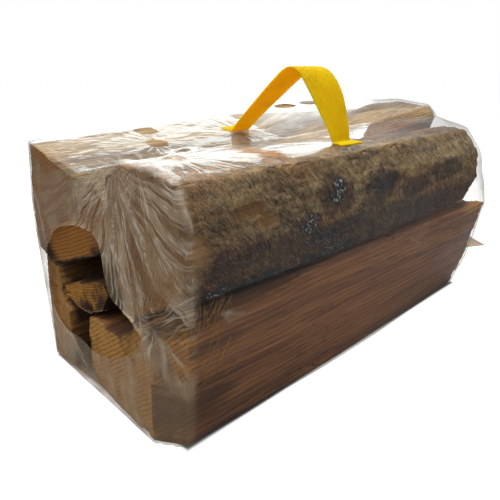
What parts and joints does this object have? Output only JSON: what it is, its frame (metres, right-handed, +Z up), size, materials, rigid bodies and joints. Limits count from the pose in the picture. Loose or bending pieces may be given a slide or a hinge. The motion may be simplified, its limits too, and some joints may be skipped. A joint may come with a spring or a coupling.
{
  "type": "firewood bundle",
  "caption": "Bundle of split firewood wrapped in clear shrink film that is open at both ends, with an arched yellow webbing carry strap on top.",
  "frame": {"origin": "centre of the bounding box, on the floor under the bundle", "axes": "+X along the logs, from the end whose opening shows the stacked pieces to the other end; +Y across the bundle, away from the bark-covered long side; +Z up"},
  "size_m": [0.4612, 0.2192, 0.2448],
  "materials": {
    "split_upper_front": "rough bark over split wood",
    "split_upper_back": "rough split wood",
    "slab_middle": "rough split wood with dark bark below",
    "split_lower_back": "rough split wood",
    "split_lower_front": "split wood, smoother along the grain",
    "stick_lower_middle": "dark split wood",
    "film_wrap": "clear, glossy and creased",
    "carry_strap": "yellow woven webbing"
  },
  "bodies": {
    "root": {"split_upper_front": "split_upper_front", "split_upper_back": "split_upper_back", "slab_middle": "slab_middle", "split_lower_back": "split_lower_back", "split_lower_front": "split_lower_front", "stick_lower_middle": "stick_lower_middle", "film_wrap": "film_wrap", "carry_strap": "carry_strap"}
  },
  "joints": []
}
